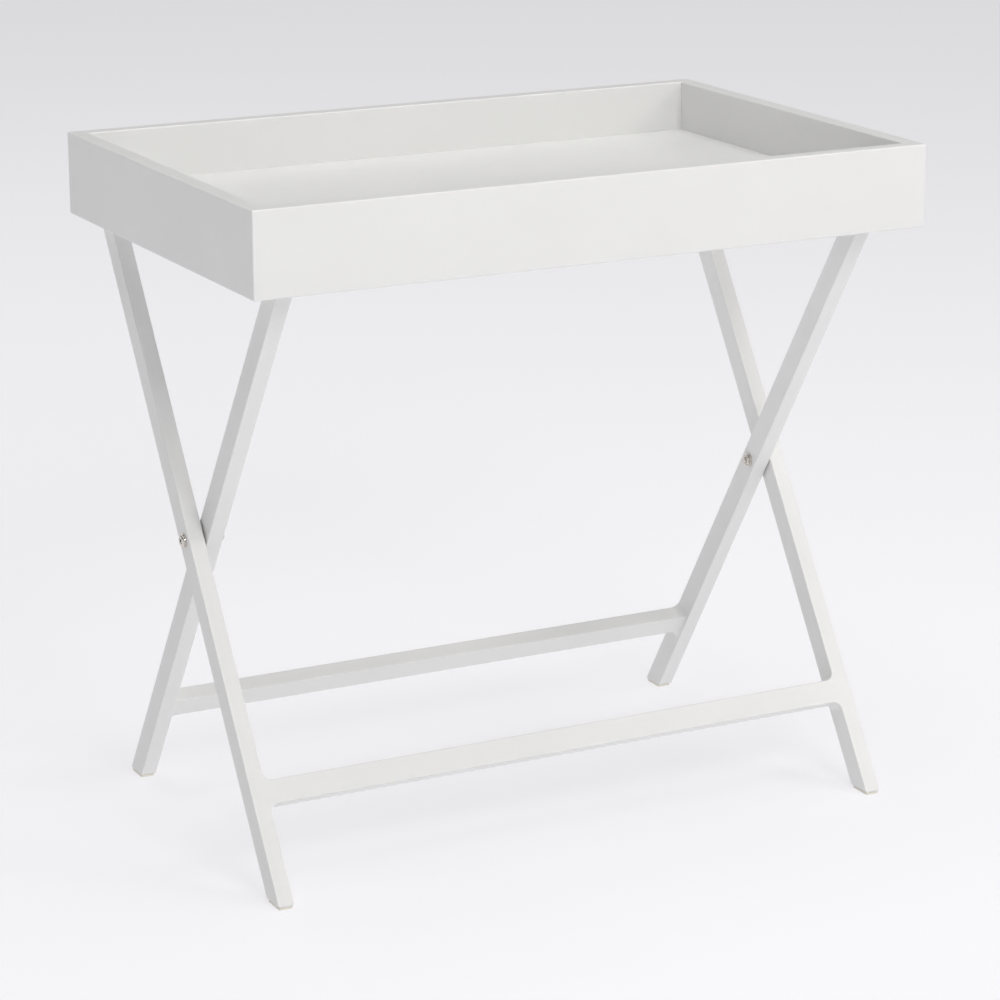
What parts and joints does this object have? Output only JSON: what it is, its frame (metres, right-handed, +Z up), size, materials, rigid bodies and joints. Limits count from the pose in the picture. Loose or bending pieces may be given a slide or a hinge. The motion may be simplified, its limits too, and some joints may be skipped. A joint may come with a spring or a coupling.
{
  "type": "folding table",
  "caption": "Folding tray table: a rectangular walled tray that lifts off an X-shaped stand of two crossed frames pivoting on bolts.",
  "frame": {"origin": "on the floor, under the middle of the tray", "axes": "+X to the right along the tray's long side, +Y to the back, +Z up"},
  "size_m": [0.65, 0.42, 0.615],
  "materials": {
    "white_lacquer": "satin white lacquer over sanded wood",
    "bare_wood": "unfinished beech, hidden in the joints",
    "plated_steel": "bright nickel-plated steel",
    "felt": "off-white pressed felt"
  },
  "bodies": {
    "outer_frame": {"outer_left_leg": "white_lacquer", "outer_right_leg": "white_lacquer", "outer_stretcher": "white_lacquer", "outer_top_rail": "white_lacquer", "outer_dowels": "bare_wood", "outer_left_foot_pad": "felt", "outer_right_foot_pad": "felt", "left_pivot_bolt": "plated_steel", "left_head_washer": "plated_steel", "left_spacer_washer": "plated_steel", "left_nut_washer": "plated_steel", "left_pivot_nut": "plated_steel", "right_pivot_bolt": "plated_steel", "right_head_washer": "plated_steel", "right_spacer_washer": "plated_steel", "right_nut_washer": "plated_steel", "right_pivot_nut": "plated_steel"},
    "inner_frame": {"inner_left_leg": "white_lacquer", "inner_right_leg": "white_lacquer", "inner_stretcher": "white_lacquer", "inner_top_rail": "white_lacquer", "inner_dowels": "bare_wood", "inner_left_foot_pad": "felt", "inner_right_foot_pad": "felt"},
    "tray": {"tray_front_wall": "white_lacquer", "tray_back_wall": "white_lacquer", "tray_left_wall": "white_lacquer", "tray_right_wall": "white_lacquer", "tray_panel": "white_lacquer", "tray_corner_splines": "bare_wood"}
  },
  "joints": [
    {"name": "stand_fold", "type": "hinge", "parent": "outer_frame", "child": "inner_frame", "pos_m": [0, 0, 0.281], "axis": [-1, 0, 0], "range_deg": [0, 60]},
    {"name": "tray_lift", "type": "slide", "parent": "outer_frame", "child": "tray", "axis": [0, 0, 1], "range_m": [0, 0.235]}
  ],
  "couplings": [
    {"joint": "tray_lift", "follows": "stand_fold", "m_per_rad": 0.22}
  ]
}
